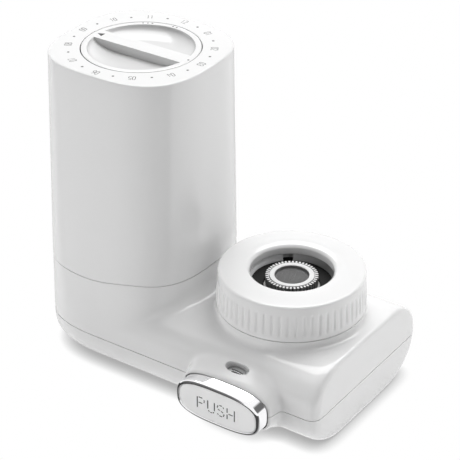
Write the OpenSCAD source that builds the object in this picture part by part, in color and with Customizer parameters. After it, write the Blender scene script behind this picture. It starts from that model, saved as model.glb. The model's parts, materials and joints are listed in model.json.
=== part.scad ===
// Faucet mount water filter: a filter tower on a low base, with a tap collar and a push button.
// The origin is on the tower's axis, on the surface that the belly stands on.
// +X points along the base to the collar, -Y is the button's side and +Z is up.

/* [Tower] */
// Height of the tower above the surface
tower_h = 132; // [120:1:165]
// Half width of the tower at its top, along the base
tower_top_x = 32.7; // [31.5:0.1:33.4]
// Half depth of the tower at its top, across the base
tower_top_y = 31.9; // [31:0.1:33.4]
// Half width and half depth of the tower at its foot
tower_foot = 33.5; // [33.4:0.1:40]
// Half width of the tower at its foot, on the side away from the collar
tower_foot_left = 35.3; // [33.4:0.1:38]
// Squareness of the tower's outline, where 2 is an ellipse
tower_square = 2.9; // [2.4:0.1:3.6]
// Radius of the edge round the tower's top
tower_edge = 1.2; // [0.4:0.1:2]
// Height of the joint line under the cap, at the free end
cap_line_z = 42; // [40:0.5:50]
// Rise of that joint line towards the collar
cap_line_rise = 3.5; // [0:0.5:6]
// Width of the visible joint lines
seam_gap = 0.3; // [0.2:0.05:0.5]
// Wall of the cap and of the two base shells
wall = 2.4; // [1.8:0.1:3]

/* [Dial] */
// Radius of the month dial
dial_r = 23.4; // [20:0.1:26]
// Gap round the dial
dial_gap = 0.3; // [0.2:0.05:0.5]
// Height of the dial's body
dial_h = 7.1; // [6:0.1:10]
// Radius of the two hollows for the fingers
bowl_r = 21; // [16:0.1:22]
// Depth of the hollows
bowl_depth = 3.8; // [2:0.1:5]
// Width of the curve from the hollows' floor up to their rim
bowl_round = 8; // [3:0.5:12]
// Width of the grip bar between the hollows
grip_w = 7.4; // [5:0.1:10]
// Radius of the spindle under the dial
spindle_r = 3; // [2:0.1:4]

/* [Deck] */
// Distance from the tower's axis to the right end
deck_end = 103.5; // [100:0.5:125]
// Distance from the tower's axis to the back wall
deck_back = 42.2; // [36:0.1:50]
// Height of the deck
deck_z = 34.6; // [32:0.1:36]
// Radius of the front right corner, seen from above
deck_corner = 4.5; // [3:0.1:8]
// Width of the rounding between the deck and the front wall
front_round = 14; // [6:0.5:16]
// Height of that rounding
front_round_h = 13; // [6:0.5:15]
// Height of the joint line between the two shells
seam_z = 15.6; // [14:0.1:18]
// Radius of the hollow curve between the tower and the deck
flare_r = 7; // [3:0.5:9]

/* [Collar] */
// Distance from the tower's axis to the collar's axis, along the base
collar_x = 67.9; // [66:0.1:72]
// Distance from the tower's axis to the collar's axis, across the base
collar_y = 4.4; // [2:0.1:7]
// Radius of the collar nut at its lower edge
nut_r = 29.9; // [28:0.1:31]
// Height of the collar nut
nut_h = 15.3; // [13:0.1:20]
// Height of the collar nut's lower edge
nut_z = 38.1; // [38:0.1:42]
// Radius of the opening for the tap
tap_r = 16.6; // [14:0.1:17]
// Number of flutes round the collar nut
nut_flutes = 60; // [36:1:72]
// Radius of the inlet sleeve over its teeth
sleeve_r = 10.9; // [9.5:0.1:11]
// Number of teeth round the inlet sleeve
sleeve_teeth = 44; // [24:1:60]
// Radius of the hole in the inlet sleeve
sleeve_bore = 6.85; // [5:0.05:7.2]

/* [Button] */
// Distance from the tower's axis to the button's middle
button_x = 66.8; // [64:0.1:70]
// Height of the button's middle
button_z = 15.2; // [14.6:0.1:16]
// Width of the chrome ring
ring_w = 38.2; // [34:0.1:40]
// Height of the chrome ring
ring_h = 17; // [15:0.1:18]
// How far the ring stands out of its bezel
ring_out = 6; // [4.5:0.1:7]
// Distance from the tower's axis to the face of the bezel
bezel_y = 40; // [39:0.1:42]
// Travel of the button
button_travel = 2.4; // [1:0.1:2.4]

/* [Cartridge] */
// Radius of the cartridge
cartridge_r = 27; // [22:0.5:27.5]
// Height of the cartridge without its grip
cartridge_h = 80; // [60:1:82]
// Wall of the cartridge
cartridge_wall = 1.8; // [1.2:0.1:2.5]
// Radius of the filter block
core_r = 23.5; // [18:0.5:24.5]
// Radius of the outlet spigot
spigot_r = 6.2; // [5:0.1:7]

/* [Fits] */
// Clearance between sliding or turning pieces
fit = 0.3; // [0.2:0.05:0.4]
// Radial clearance of shafts and plugs
shaft_fit = 0.08; // [0.05:0.01:0.1]
// Radius of the screws' shanks
screw_r = 1.5; // [1.2:0.1:1.8]
// Length of the screws under their heads
screw_l = 14; // [10:0.5:16]

/* [Hidden] */
$fn = 96;
eps = 0.01;
big = 400;
outline_n = 72;

// Tower
tower_inset = 0.1;
flare_rise = 6.4;
flare_top = deck_z + flare_rise;
flare_low = deck_z - front_round_h;
flare_n = 9;
lip_wall = 1.6;
lip_h = 8;
lip_seat = 4;
cap_line_mid = 7;
cap_line_half = 13;

// Dial, from the top down
dial_z = tower_h - dial_h;
well_r = dial_r + dial_gap;
well_floor = 2;
well_z = dial_z - fit - well_floor;
clip_h = 1;
clip_z = well_z - fit - clip_h;
spindle_end = clip_z - 0.4;
bowl_power = 2.6;

// Deck and belly
belly_front = 18.6;
belly_back = 17;
belly_front_h = 12;
belly_back_h = 18.6;
belly_end = 14;
belly_end_h = 16;
belly_power = 2.4;
back_round = 18;
widen_start = 6;
widen_end = 52;
widen_n = 7;
belly_n = 10;
deck_n = 8;
pod_front_half_h = ring_h / 2 + fit + 1;
pod_front_half_w = ring_w / 2 + fit + 1;
pod_n = 3;
pod_points = 56;
pod_slope = 0.43;
pod_side_slope = 0.12;
pod_low_slope = 0.22;
pod_flare = 2.6;
pod_flare_at = 5.6;
pod_flare_run = 1.6;
pod_depth = 18;

// Collar, from the deck up
neck_r = nut_r - 0.2;
neck_top = nut_z - fit;
neck_root = 6.6;
neck_low = deck_z - neck_root;
boss_r = 21.6;
boss_wall = 2.2;
nut_lip = 2.9;
nut_lip_z = nut_z + nut_h - nut_lip;
boss_top = nut_lip_z - fit;
nut_bore = boss_r + fit;
nut_taper = 0.7;
nut_fillet = 1;
tap_chamfer = 0.9;
bead_h = 1.2;
bead_z = nut_z + 3;
bead_r = boss_r - 0.4;
flute_r = 1.3;
flute_depth = 0.35;
flute_mid = nut_r - nut_taper - flute_depth + flute_r;
flange_top = nut_z + 6.9;
flange_h = 2.5;
gasket_h = 1.4;
split_h = 2.6;
split_z = flange_top + gasket_h + 0.3;
split_in = tap_r - 0.4;
split_out = boss_r - boss_wall - 0.2;
sleeve_top = nut_lip_z - 0.2;
sleeve_collar = 1.6;
sleeve_plug_r = 8;
sleeve_plug = 9;
tooth_h = 1.6;
screen_h = 0.6;
screen_seat = 1.8;
screen_rings = 3;
screen_pitch = 1.6;
screen_hole = 0.55;

// Button and its mechanism, from the front back
ring_front = bezel_y + ring_out;
ring_back = bezel_y - 0.3;
ring_lip = 1.1;
ring_ledge = 2.1;
pad_sunk = 0.4;
pad_h = 2.2;
pad_back = ring_front - pad_sunk - pad_h;
stem_r = 2.4;
guide_front = ring_back - button_travel - fit;
guide_h = 1.2;
guide_back = guide_front - guide_h;
stem_collar_r = 3.4;
stem_collar_h = 0.8;
drum_r = 8.1;
drum_h = 4.5;
drum_front = guide_back - fit;
drum_back = drum_front - drum_h;
stem_end = drum_back - 4;
rotor_r = 5.5;
rotor_back = collar_y + 12;
rotor_bore_end = stem_end - button_travel - 0.6;
spring_wire = 0.7;
spring_r = 4;
spring_turns = 4;
window_y = 33.5;
window_r = 2.8;
window_w = 10;
window_tilt = atan(pod_slope);
lens_h = 1.2;
lens_sunk = 0.8;
window_z = button_z + pod_front_half_h + (bezel_y - window_y) * pod_slope;

// Water ways
valve_r = 15;
valve_z = 4;
valve_h = 26;
valve_neck_r = 11;
chamber_r = 12.6;
chamber_h = 5;
port_r = 2.5;
inlet_depth = 21;
duct_r = 3.6;
duct_bore = 2.4;
feed_y = collar_y + 7.6;
feed_z = 22;
feed_end = collar_x - 10;
feed_boss_r = 5.5;
return_z = 10.5;
return_r = 3;
return_bore = 2;
feed_port_x = 19;
outlet_x = 42.5;
outlet_r = 5;
outlet_bore = 3.2;
outlet_top = 14;
spray_r = 14;
spray_z = 0.6;
spray_h = 1.8;
nozzle_r = 4.8;
nozzle_bore = 3.4;
spray_rows = [[7.2, 16], [9.2, 20]];
spray_hole = 0.6;

// Cartridge and its seat
seat_z = 34;
seat_h = 3;
socket_tube_r = 9;
socket_bottom = 7.5;
spigot_end = 18;
core_bore = 6;
cartridge_floor = 2.5;
cartridge_top = seat_z + cartridge_h;
lid_h = 6;
lid_disc_h = 2.5;
lid_plug_h = 3;
lid_bar_inset = 4;
floor_holes = 12;
floor_hole_r = 1.6;
seal_groove = 1.7;
spigot_wall = 2.6;
seal_r = 0.9;
seal_z = [22, 27];

// Screws
screw_head_r = 2.9;
screw_head_h = 1.8;
screw_seat = 3.4;
screw_boss_r = 3.7;
deck_boss_h = 14.5;
screw_hole_h = 12;

// Ribs across the belly
rib_at = [30, collar_x + valve_r + 3.6];
rib_w = 1.5;
rib_top = 7;
tower_screws = [[-18, -15.5], [-18, 15.5]];
deck_screws = [[deck_end - 8.5, -23], [deck_end - 8.5, deck_back - 12]];

// Points of an arc or of a quarter of an ellipse, by angle
function arc(cx, cy, rx, ry, a0, a1, steps, power = 2) = [
    for (i = [0 : steps])
        let (a = a0 + (a1 - a0) * i / steps)
        [cx + rx * signed_power(cos(a), 2 / power), cy + ry * signed_power(sin(a), 2 / power)]
];
function signed_power(v, p) = sign(v) * pow(abs(v), p);
function smooth(t) = let (c = min(1, max(0, t))) c * c * (3 - 2 * c);
function mix(a, b, t) = a + (b - a) * t;

// A closed superellipse outline
function squircle(a, b, power, count = outline_n) = [
    for (i = [0 : count - 1])
        let (t = 360 * i / count)
        [a * signed_power(cos(t), 2 / power), b * signed_power(sin(t), 2 / power)]
];

// A solid through rings of points, from the lowest ring to the highest
module loft(rings) {
    n = len(rings[0]);
    m = len(rings);
    sides = [
        for (j = [0 : m - 2], i = [0 : n - 1])
            let (a = j * n + i, b = j * n + (i + 1) % n)
            each [[a, a + n, b + n], [a, b + n, b]]
    ];
    low = [for (i = [0 : n - 1]) i];
    high = [for (i = [n - 1 : -1 : 0]) (m - 1) * n + i];
    polyhedron(points = [for (r = rings) each r], faces = concat([low], sides, [high]));
}

// Distance to the back wall, which widens smoothly from the tower to the deck
function back_at(x) = mix(tower_foot, deck_back, smooth((x - widen_start) / (widen_end - widen_start)));

// How much of a quarter of an ellipse is left at a share of its height
function quarter(share, power = 2) = pow(max(0, 1 - pow(min(1, max(0, share)), power)), 1 / power);

// Share of the way down the belly's curve or up the rounding of the deck
function belly_share(z, inset, h) = (h - z) / (h - inset);
function deck_share(z, inset, h) = (z - deck_z + h) / (h - inset);

// Reach of the base at a height: to the free side, to the front and, at a place along it, to the back
function left_reach(z, inset) =
    let (full = tower_left(z) - inset, flat = full - belly_end + inset)
    mix(flat, full, quarter(belly_share(z, inset, belly_end_h)));
function front_reach(z, inset) =
    let (full = tower_foot - inset, low = tower_foot - belly_front, high = tower_foot - front_round)
    z < belly_front_h
        ? mix(low, full, quarter(belly_share(z, inset, belly_front_h)))
        : mix(high, full, quarter(deck_share(z, inset, front_round_h)));
function back_reach(x, z, inset) =
    let (full = back_at(x) - inset)
    z < belly_back_h
        ? mix(belly_back, full, quarter(belly_share(z, inset, belly_back_h), belly_power))
        : mix(back_at(x) - back_round, full, quarter(deck_share(z, inset, deck_z - belly_back_h)));

// Outline of the base at a height: its free end is a superellipse and its right end is flat
function base_ring(z, inset) =
    let (left = left_reach(z, inset), front = front_reach(z, inset), end = deck_end - inset)
    let (r = max(0.5, deck_corner - inset))
    [
        for (p = concat(
            arc(0, 0, left, back_reach(0, z, inset), 90, 180, 14, tower_square),
            arc(0, 0, left, front, 180 + 90 / 14, 270, 13, tower_square),
            arc(end - r, r - front, r, r, 270, 360, 6),
            [
                [end, back_reach(end, z, inset)],
                for (i = [widen_n : -1 : 0])
                    let (x = mix(widen_start, widen_end, i / widen_n))
                    [x, back_reach(x, z, inset)]
            ]
        )) [p[0], p[1], z]
    ];

// The low body of the base, as a skin through its outlines from the belly to the deck
module deck_form(inset) {
    belly = belly_back_h - inset;
    top = deck_z - belly_back_h - inset;
    levels = concat(
        [for (i = [0 : belly_n]) inset + belly * (1 - cos(90 * i / belly_n))],
        [for (i = [1 : deck_n]) belly_back_h + top * sin(90 * i / deck_n)]
    );
    loft([for (z = levels) base_ring(z, inset)]);
}

// Half width of the tower at a height, towards the collar and away from it, and its half depth
function tower_part(z) = (z - cap_line_z) / (tower_h - cap_line_z);
function tower_right(z) = mix(tower_foot, tower_top_x, max(0, tower_part(z)));
function tower_left(z) = mix(tower_foot_left, tower_top_x, tower_part(z));
function tower_half_y(z) = mix(tower_foot, tower_top_y, max(0, tower_part(z)));

// Outline of the tower at a height
function tower_outline(z, inset) = [
    for (p = squircle(1, 1, tower_square))
        [p[0] * ((p[0] < 0 ? tower_left(z) : tower_right(z)) - inset), p[1] * (tower_half_y(z) - inset)]
];

// One ring of the tower, with the hollow curve that runs out to the deck on the collar's side
function deck_drop(y) =
    let (share = y < 0 ? (front_round - tower_foot - y) / front_round : (y - tower_foot + back_round) / back_round)
    (y < 0 ? front_round_h : deck_z - belly_back_h) * (1 - quarter(share));
function tower_ring(z, inset, flared = true) =
    [
        for (p = tower_outline(z, inset))
            let (u = min(1, max(0, (flare_top - deck_drop(p[1]) - z) / flare_r)))
            let (out = flared ? flare_r * (1 - quarter(u)) : 0)
            let (a = atan2(p[1], p[0]), w = smooth((cos(a) - 0.1) / 0.7))
            [p[0] + out * w * cos(a), p[1] + out * w * sin(a) * 0.5, z]
    ];

// The tower's stub on the base
module stub_form(inset, low, high) {
    levels = [
        low,
        for (i = [0 : flare_n]) mix(flare_low, flare_top, pow(i / flare_n, 0.8)),
        high
    ];
    loft([for (z = levels) tower_ring(z, inset)]);
}

// The pod that carries the button, widening from the bezel back into the deck
function pod_ring(y, inset) =
    let (t = bezel_y - y)
    let (flare = pod_flare * smooth((t - pod_flare_at) / pod_flare_run))
    let (half_w = pod_front_half_w + pod_side_slope * t + flare - inset)
    let (top = button_z + pod_front_half_h + pod_slope * t - inset)
    let (bottom = button_z - pod_front_half_h - pod_low_slope * t + inset)
    [
        for (p = squircle(half_w, (top - bottom) / 2, pod_n, pod_points))
            [button_x + p[0], -y, (top + bottom) / 2 + p[1]]
    ];

module pod_form(inset) {
    front = bezel_y - inset;
    flare_end = bezel_y - pod_flare_at - pod_flare_run;
    levels = [
        bezel_y - pod_depth,
        for (i = [0 : 2]) flare_end + pod_flare_run * i / 2,
        front - 0.6,
        front
    ];
    loft([for (y = levels) pod_ring(y, y == front && inset == 0 ? 0.5 : inset)]);
}

module base_form(inset, stub = true) {
    deck_form(inset);
    pod_form(inset);
    if (stub) stub_form(inset + tower_inset, seam_z + 2, 60);
}

// Everything above or below the curved joint line under the cap
function cap_line(x) =
    let (t = (x - cap_line_mid + cap_line_half) / (2 * cap_line_half))
    cap_line_z + cap_line_rise * smooth(t);
module above_cap_line(lift) {
    reach = 2 * tower_foot_left;
    start = cap_line_mid - cap_line_half;
    line = [for (x = [start : cap_line_half / 8 : start + 2 * cap_line_half]) [x, cap_line(x) + lift]];
    sky = [[reach, cap_line(reach) + lift], [reach, big], [-reach, big], [-reach, cap_line(-reach) + lift]];
    translate([0, reach, 0]) rotate([90, 0, 0]) linear_extrude(2 * reach) polygon(concat(line, sky));
}

module above(z) { translate([-big / 2, -big / 2, z]) cube(big); }
module below(z) { translate([-big / 2, -big / 2, z - big]) cube(big); }
module at_collar(z = 0) { translate([collar_x, collar_y, z]) children(); }
module at_button(y) { translate([button_x, -y, button_z]) rotate([-90, 0, 0]) children(); }
module tube(outer, inner, h) {
    difference() {
        cylinder(r = outer, h = h);
        translate([0, 0, -1]) cylinder(r = inner, h = h + 2);
    }
}

// Tower cap: one tall moulding with a round well in its top for the dial
module cap_form(inset) {
    top = tower_h - inset;
    edge = inset == 0 ? tower_edge : 0.4;
    levels = [cap_line_z - 6, cap_line_z, for (i = [0 : 4]) top - edge * (1 - sin(90 * i / 4))];
    rings = [
        for (i = [0 : len(levels) - 1])
            let (turn = i < 2 ? 0 : edge * (1 - cos(90 * (i - 2) / 4)))
            tower_ring(levels[i], inset + turn, false)
    ];
    loft(rings);
}

module tower_cap() {
    color("white") difference() {
        union() {
            difference() {
                intersection() {
                    cap_form(0);
                    above_cap_line(seam_gap / 2);
                }
                cap_form(wall);
            }
            translate([0, 0, well_z]) cylinder(r = well_r + 2, h = tower_h - wall / 2 - well_z);
        }
        translate([0, 0, well_z + well_floor]) cylinder(r = well_r, h = dial_h + 2);
        translate([0, 0, well_z - 1]) cylinder(r = spindle_r + shaft_fit, h = well_floor + 2);
    }
}

// Month dial: a dish whose grip bar is left standing between two finger hollows
module month_dial() {
    color("white") {
        difference() {
            translate([0, 0, dial_z]) cylinder(r = dial_r, h = dial_h);
            difference() {
                translate([0, 0, tower_h]) rotate_extrude() polygon(concat(
                    [[0, 1], [0, -bowl_depth]],
                    arc(bowl_r - bowl_round, 0, bowl_round, bowl_depth, 270, 360, 12, bowl_power),
                    [[bowl_r, 1]]
                ));
                translate([-big / 2, -grip_w / 2, 0]) cube([big, grip_w, big]);
            }
        }
        difference() {
            translate([0, 0, spindle_end]) cylinder(r = spindle_r, h = dial_z - spindle_end + eps);
            translate([0, 0, clip_z]) tube(spindle_r + 1, spindle_r - 0.5, clip_h);
        }
    }
}

// Dial clip: open spring ring in the spindle's groove, under the well's floor
module dial_clip() {
    color("silver") translate([0, 0, clip_z + 0.05]) difference() {
        tube(spindle_r + 2.5, spindle_r - 0.5 + shaft_fit, clip_h - 0.1);
        translate([0, -1.2, -1]) cube([10, 2.4, 4]);
    }
}

// Upper shell: deck, tower stub, button pod, neck and the boss that the nut turns on
module window_place() {
    translate([button_x + 0.6, -window_y, window_z]) rotate([window_tilt, 0, 0]) children();
}
module slot_form(r, h) {
    reach = window_w / 2 - window_r;
    for (s = [-1, 1]) translate([s * reach, 0, 0]) cylinder(r = r, h = h);
    translate([-reach, -r, 0]) cube([2 * reach, 2 * r, h]);
}
module bezel_hole() {
    translate([button_x, -bezel_y + wall + 1, button_z]) rotate([90, 0, 0]) linear_extrude(wall + 3)
        polygon(squircle(ring_w / 2 + fit, ring_h / 2 + fit, pod_n, pod_points));
}
module neck() {
    at_collar() {
        difference() {
            translate([0, 0, neck_low]) cylinder(r = neck_r, h = neck_top - neck_low);
            translate([0, 0, 0]) cylinder(r = neck_r - wall, h = neck_top - wall);
            translate([0, 0, 0]) cylinder(r = boss_r - boss_wall, h = neck_top + 1);
        }
        difference() {
            translate([0, 0, neck_top - 0.5]) tube(boss_r, boss_r - boss_wall, boss_top - neck_top + 0.5);
            translate([0, 0, bead_z - fit]) tube(boss_r + 2, bead_r - fit, bead_h + 2 * fit);
        }
    }
}
module stub_lip() {
    seat_top = seat_z + lip_seat;
    lip_top = cap_line_z + lip_h;
    difference() {
        union() {
            translate([0, 0, seat_z]) linear_extrude(lip_seat)
                polygon(tower_outline(seat_z, wall - 0.5));
            translate([0, 0, seat_top - eps]) linear_extrude(lip_top - seat_top)
                polygon(tower_outline(lip_top, wall + fit));
        }
        translate([0, 0, seat_z - 1]) linear_extrude(30) polygon(tower_outline(lip_top, wall + fit + lip_wall));
    }
}
module base_upper() {
    color("white") difference() {
        union() {
            difference() {
                intersection() {
                    base_form(0);
                    above(seam_z + seam_gap / 2);
                    below(cap_line_z + cap_line_rise + 5);
                }
                base_form(wall);
                above_cap_line(-seam_gap / 2);
                at_collar() cylinder(r = neck_r - wall, h = neck_top - wall);
            }
            neck();
            stub_lip();
            for (p = deck_screws) translate([p[0], p[1], seam_z]) cylinder(r = screw_boss_r, h = deck_boss_h);
        }
        bezel_hole();
        window_place() {
            translate([0, 0, -lens_sunk - lens_h]) slot_form(window_r, 10);
            translate([0, 0, -8]) slot_form(window_r - 0.6, 10);
        }
        for (p = deck_screws)
            translate([p[0], p[1], seam_z - 1]) cylinder(r = screw_r + shaft_fit, h = screw_hole_h);
    }
}

// Lower shell: the belly, with the screws' bosses and the holes for the outlets
module base_lower() {
    color("white") difference() {
        union() {
            difference() {
                intersection() {
                    base_form(0, stub = false);
                    below(seam_z - seam_gap / 2);
                }
                base_form(wall, stub = false);
            }
            for (p = concat(tower_screws, deck_screws))
                translate([p[0], p[1], screw_seat - 0.4])
                    cylinder(r = screw_boss_r, h = seam_z - screw_seat + 0.4);
            intersection() {
                for (x = rib_at) translate([x - rib_w / 2, -big / 2, 0]) cube([rib_w, big, rib_top]);
                deck_form(wall - 0.6);
            }
            at_collar(wall / 2) cylinder(r = valve_r, h = valve_z - wall / 2);
            translate([outlet_x, collar_y, wall / 2]) cylinder(r = outlet_r + 2, h = wall / 2 + 0.6);
        }
        bezel_hole();
        at_collar(-1) cylinder(r = spray_r + shaft_fit, h = 10);
        translate([outlet_x, collar_y, -1]) cylinder(r = outlet_r + shaft_fit, h = 10);
        for (p = concat(tower_screws, deck_screws)) {
            translate([p[0], p[1], -1]) cylinder(r = screw_head_r + fit, h = screw_seat + 1);
            translate([p[0], p[1], 0]) cylinder(r = screw_r + fit, h = 20);
        }
    }
}

// Collar nut: fluted ring with an inward lip, snapped over the boss so that it can turn
module collar_nut() {
    top = nut_z + nut_h;
    side = [[nut_bore, nut_z + 0.4], [nut_bore + 0.4, nut_z], [nut_r - 0.5, nut_z], [nut_r, nut_z + 0.5]];
    rim = arc(nut_r - nut_taper - nut_fillet, top - nut_fillet, nut_fillet, nut_fillet, 0, 90, 6);
    lip = [[tap_r + tap_chamfer, top], [tap_r, top - tap_chamfer], [tap_r, nut_lip_z], [nut_bore, nut_lip_z]];
    bead_top = bead_z + bead_h;
    bead = [[nut_bore, bead_top + 0.4], [bead_r, bead_top], [bead_r, bead_z], [nut_bore, bead_z - 0.4]];
    color("white") at_collar() difference() {
        rotate_extrude() polygon(concat(side, rim, lip, bead));
        for (i = [0 : nut_flutes - 1])
            rotate(360 * i / nut_flutes) translate([flute_mid, 0, nut_z + 0.8])
                cylinder(r = flute_r, h = nut_h - 4, $fn = 24);
    }
}

// Split ring: open ring that grips the tap's adapter under the lip
module split_ring() {
    color("gray") at_collar(split_z) difference() {
        tube(split_out, split_in, split_h);
        rotate(128) translate([0, -2, -1]) cube([30, 4, split_h + 2]);
    }
}

// Collar gasket: washer on the valve's flange
module collar_gasket() {
    color("dimgray") at_collar(flange_top) tube(split_out, sleeve_r + fit, gasket_h);
}

// Inlet sleeve: toothed sleeve plugged into the valve's inlet, with a seat for the screen
module inlet_sleeve() {
    color("lightgray") at_collar() difference() {
        union() {
            translate([0, 0, flange_top]) cylinder(r = sleeve_r - tooth_h, h = sleeve_top - flange_top);
            translate([0, 0, flange_top - sleeve_plug])
                cylinder(r = sleeve_plug_r - shaft_fit, h = sleeve_plug + 1);
            translate([0, 0, flange_top + sleeve_collar])
                linear_extrude(sleeve_top - flange_top - sleeve_collar) sleeve_gear();
        }
        translate([0, 0, sleeve_top - screen_seat]) cylinder(r = sleeve_bore, h = 5);
        translate([0, 0, 0]) cylinder(r = sleeve_bore - 1, h = 100);
    }
}
module sleeve_gear() {
    pitch = 360 / sleeve_teeth;
    root = sleeve_r - tooth_h;
    polygon([
        for (i = [0 : sleeve_teeth - 1])
            each [for (k = [[0, root], [0.25, root], [0.42, sleeve_r], [0.83, sleeve_r]])
                [k[1] * cos((i + k[0]) * pitch), k[1] * sin((i + k[0]) * pitch)]]
    ]);
}

// Inlet screen: punched disc that catches grit
module inlet_screen() {
    color("gray") at_collar(sleeve_top - screen_seat) difference() {
        cylinder(r = sleeve_bore - shaft_fit, h = screen_h);
        for (ring = [0 : screen_rings], i = [0 : max(0, 6 * ring - 1)])
            rotate(60 * i / max(1, ring)) translate([screen_pitch * ring, 0, -1])
                cylinder(r = screen_hole, h = 3, $fn = 16);
    }
}

// Push button: pad, chrome ring and stem
module button_slab(y_front, y_back, cut) {
    translate([button_x, -y_back, button_z]) rotate([90, 0, 0]) linear_extrude(y_front - y_back)
        polygon(squircle(ring_w / 2 - cut, ring_h / 2 - cut, pod_n, pod_points));
}
module push_button() {
    color("white") button_slab(ring_front - pad_sunk, pad_back, ring_lip + 0.05);
}
module button_ring() {
    color("silver") difference() {
        button_slab(ring_front, ring_back, 0);
        button_slab(ring_front + 1, pad_back, ring_lip);
        button_slab(pad_back + 1, ring_back - 1, ring_ledge);
    }
}
module button_stem() {
    color("gainsboro") {
        at_button(pad_back) cylinder(r = stem_r, h = pad_back - stem_end);
        at_button(drum_front) cylinder(r = stem_collar_r, h = stem_collar_h);
    }
}

// Button spring: coil between the pad and the guide
module button_spring() {
    turn_n = 16;
    count = spring_turns * turn_n;
    low = pad_back - spring_wire / 2;
    high = guide_front + spring_wire / 2;
    rings = [
        for (i = [0 : count])
            let (a = 360 * i / turn_n, y = mix(low, high, i / count))
            [for (k = [0 : 7]) let (b = 45 * k, r = spring_r + spring_wire / 2 * cos(b))
                [button_x + r * cos(a), -y + spring_wire / 2 * sin(b), button_z + r * sin(a)]]
    ];
    color("silver") loft(rings);
}

// Button guide: plate across the pod that the stem slides in
module button_guide() {
    ring = pod_ring(guide_front, wall + fit);
    color("gainsboro") difference() {
        translate([0, -guide_back, 0]) rotate([90, 0, 0]) linear_extrude(guide_h)
            polygon([for (p = ring) [p[0], p[2]]]);
        at_button(guide_front + 1) cylinder(r = stem_r + shaft_fit, h = guide_h + 2);
    }
}

// Mode drum: turns one step for each push, with its signs under the window
module mode_drum() {
    color("whitesmoke") difference() {
        at_button(drum_front) cylinder(r = drum_r, h = drum_h);
        at_button(drum_front + 1) cylinder(r = stem_r + fit, h = drum_h + 2);
        at_button(drum_front + 1)
            cylinder(r = stem_collar_r + fit, h = button_travel + stem_collar_h + fit + 1);
    }
}

// Valve rotor: spool in the valve body's cross bore, with one port through it
module valve_rotor() {
    color("gainsboro") difference() {
        at_button(drum_back) cylinder(r = rotor_r, h = drum_back + rotor_back);
        at_button(drum_back + 1) cylinder(r = stem_r + fit, h = drum_back - rotor_bore_end + 1);
        translate([button_x, collar_y, button_z - 10]) cylinder(r = port_r, h = 20);
    }
}

// Valve body: block under the collar with the inlet, the cross bore and the outlets
module valve_body() {
    color("gainsboro") difference() {
        union() {
            at_collar(valve_z) cylinder(r = valve_r, h = valve_h);
            at_collar(valve_z + valve_h - 1) cylinder(r = valve_neck_r, h = flange_top - valve_z - valve_h + 1);
            at_collar(flange_top - flange_h) cylinder(r = split_out, h = flange_h);
        }
        at_collar(flange_top - inlet_depth) cylinder(r = sleeve_plug_r, h = inlet_depth + 1);
        at_collar(valve_z - 1) cylinder(r = chamber_r, h = chamber_h + 1);
        translate([button_x, collar_y, valve_z + 1])
            cylinder(r = port_r, h = flange_top - inlet_depth - valve_z);
        translate([button_x, rotor_back + 0.5, button_z]) rotate([90, 0, 0])
            cylinder(r = rotor_r + shaft_fit, h = rotor_back + bezel_y);
        translate([feed_end, feed_y, feed_z]) rotate([0, -90, 0]) cylinder(r = duct_r + shaft_fit, h = valve_r);
    }
}

// Window lens: clear oval pane on the ledge of its slot
module window_lens() {
    color([0.8, 0.85, 0.9, 0.6]) window_place()
        translate([0, 0, -lens_sunk - lens_h]) slot_form(window_r - shaft_fit, lens_h);
}

// Cartridge shell: canister with water holes round its floor
module cartridge_shell() {
    color("white") translate([0, 0, seat_z]) difference() {
        cylinder(r = cartridge_r, h = cartridge_h - lid_h);
        translate([0, 0, cartridge_floor]) cylinder(r = cartridge_r - cartridge_wall, h = cartridge_h);
        translate([0, 0, -1]) cylinder(r = spigot_r + shaft_fit, h = 10);
        for (i = [0 : floor_holes - 1])
            rotate(360 * i / floor_holes) translate([feed_port_x, 0, -1]) cylinder(r = floor_hole_r, h = 10);
    }
}

// Cartridge lid: plugged into the shell, with a bar to pull it by
module cartridge_lid() {
    color("white") translate([0, 0, cartridge_top - lid_h]) {
        inner = cartridge_r - cartridge_wall;
        cylinder(r = cartridge_r, h = lid_disc_h);
        translate([0, 0, -lid_plug_h]) tube(inner - shaft_fit, inner - 2, lid_plug_h + eps);
        intersection() {
            translate([-cartridge_r, -2, 0]) cube([2 * cartridge_r, 4, lid_h]);
            cylinder(r = cartridge_r - lid_bar_inset, h = lid_h);
        }
    }
}

// Carbon core: pressed block with a bore down its middle
module carbon_core() {
    color([0.15, 0.15, 0.16]) translate([0, 0, seat_z + cartridge_floor + 2])
        tube(core_r, core_bore, cartridge_h - lid_h - cartridge_floor - 5);
}

// Cartridge spigot: outlet tube with two grooves, under a disc that carries the core
module cartridge_spigot() {
    color("white") difference() {
        union() {
            translate([0, 0, spigot_end]) cylinder(r = spigot_r, h = seat_z + cartridge_floor + 1 - spigot_end);
            translate([0, 0, seat_z + cartridge_floor]) cylinder(r = core_bore + 6, h = 2);
        }
        translate([0, 0, spigot_end - 1]) cylinder(r = spigot_r - spigot_wall, h = 40);
        for (z = seal_z) translate([0, 0, z - seal_r]) tube(spigot_r + 1, spigot_r - seal_groove, 2 * seal_r);
    }
}
module spigot_seals() {
    color([0.1, 0.1, 0.1]) for (z = seal_z) translate([0, 0, z])
        rotate_extrude() translate([spigot_r + 0.2 - seal_r, 0]) circle(r = seal_r - 0.05, $fn = 24);
}

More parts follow.
